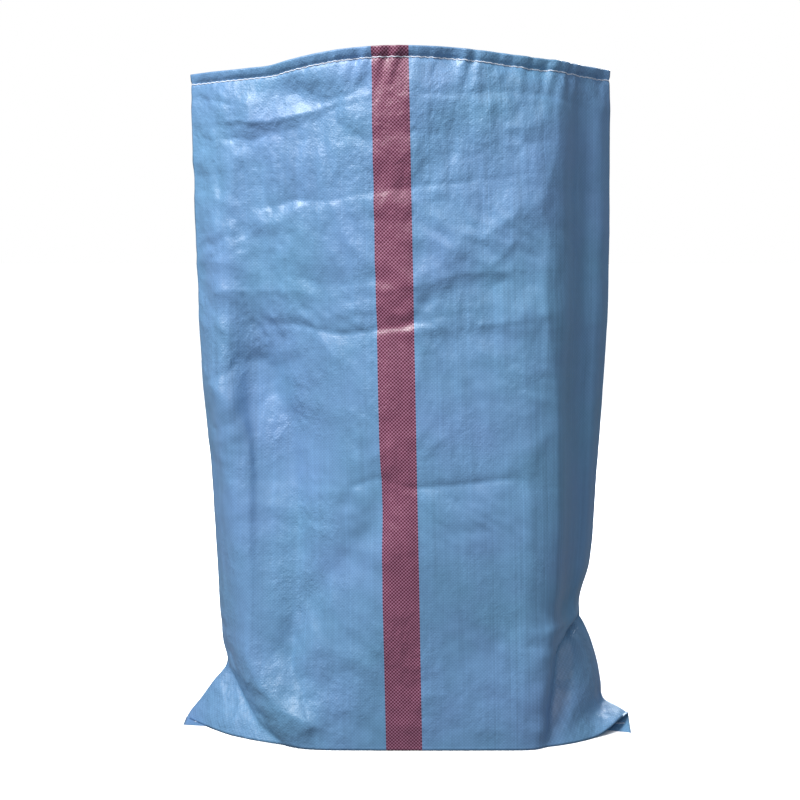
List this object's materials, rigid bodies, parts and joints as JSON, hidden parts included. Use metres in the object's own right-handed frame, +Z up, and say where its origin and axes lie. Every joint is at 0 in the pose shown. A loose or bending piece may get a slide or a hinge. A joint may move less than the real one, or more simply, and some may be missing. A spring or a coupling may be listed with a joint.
{
  "type": "woven polypropylene sack",
  "caption": "Empty woven polypropylene sack standing open, blue with a red warp stripe, hemmed mouth and a folded, sewn bottom with ears.",
  "frame": {"origin": "on the floor, in the middle of the base", "axes": "+Z up, out of the mouth; +X along the bottom seam, to the right of the front; the front faces -Y"},
  "size_m": [0.6, 0.2489, 0.8745],
  "materials": {
    "cloth": "laminated tape weave, satin",
    "thread": "spun polyester sewing thread"
  },
  "bodies": {
    "root": {"sack_body": "cloth", "mouth_hem_thread": "thread", "bottom_seam_thread": "thread"}
  },
  "joints": []
}
